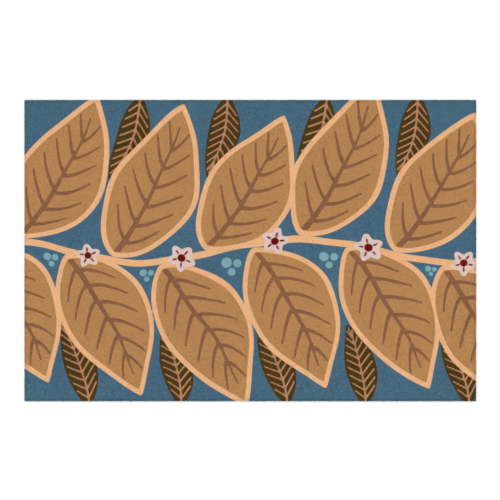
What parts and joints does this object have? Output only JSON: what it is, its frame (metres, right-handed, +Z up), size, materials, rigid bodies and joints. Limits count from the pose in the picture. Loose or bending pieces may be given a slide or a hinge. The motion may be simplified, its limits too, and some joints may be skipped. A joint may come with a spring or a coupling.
{
  "type": "plush rug",
  "caption": "Flat rectangular rug of short cut-pile plush, with square corners and a soft pile edge, that lies on a floor.",
  "frame": {"origin": "on the floor, under the middle of the rug", "axes": "+X along the rug's length, +Y across its width, +Z up through the pile"},
  "size_m": [0.9, 0.6, 0.009],
  "materials": {
    "plush": "dyed short cut pile, matt with a soft nap"
  },
  "bodies": {
    "root": {"plush_rug": "plush"}
  },
  "joints": []
}
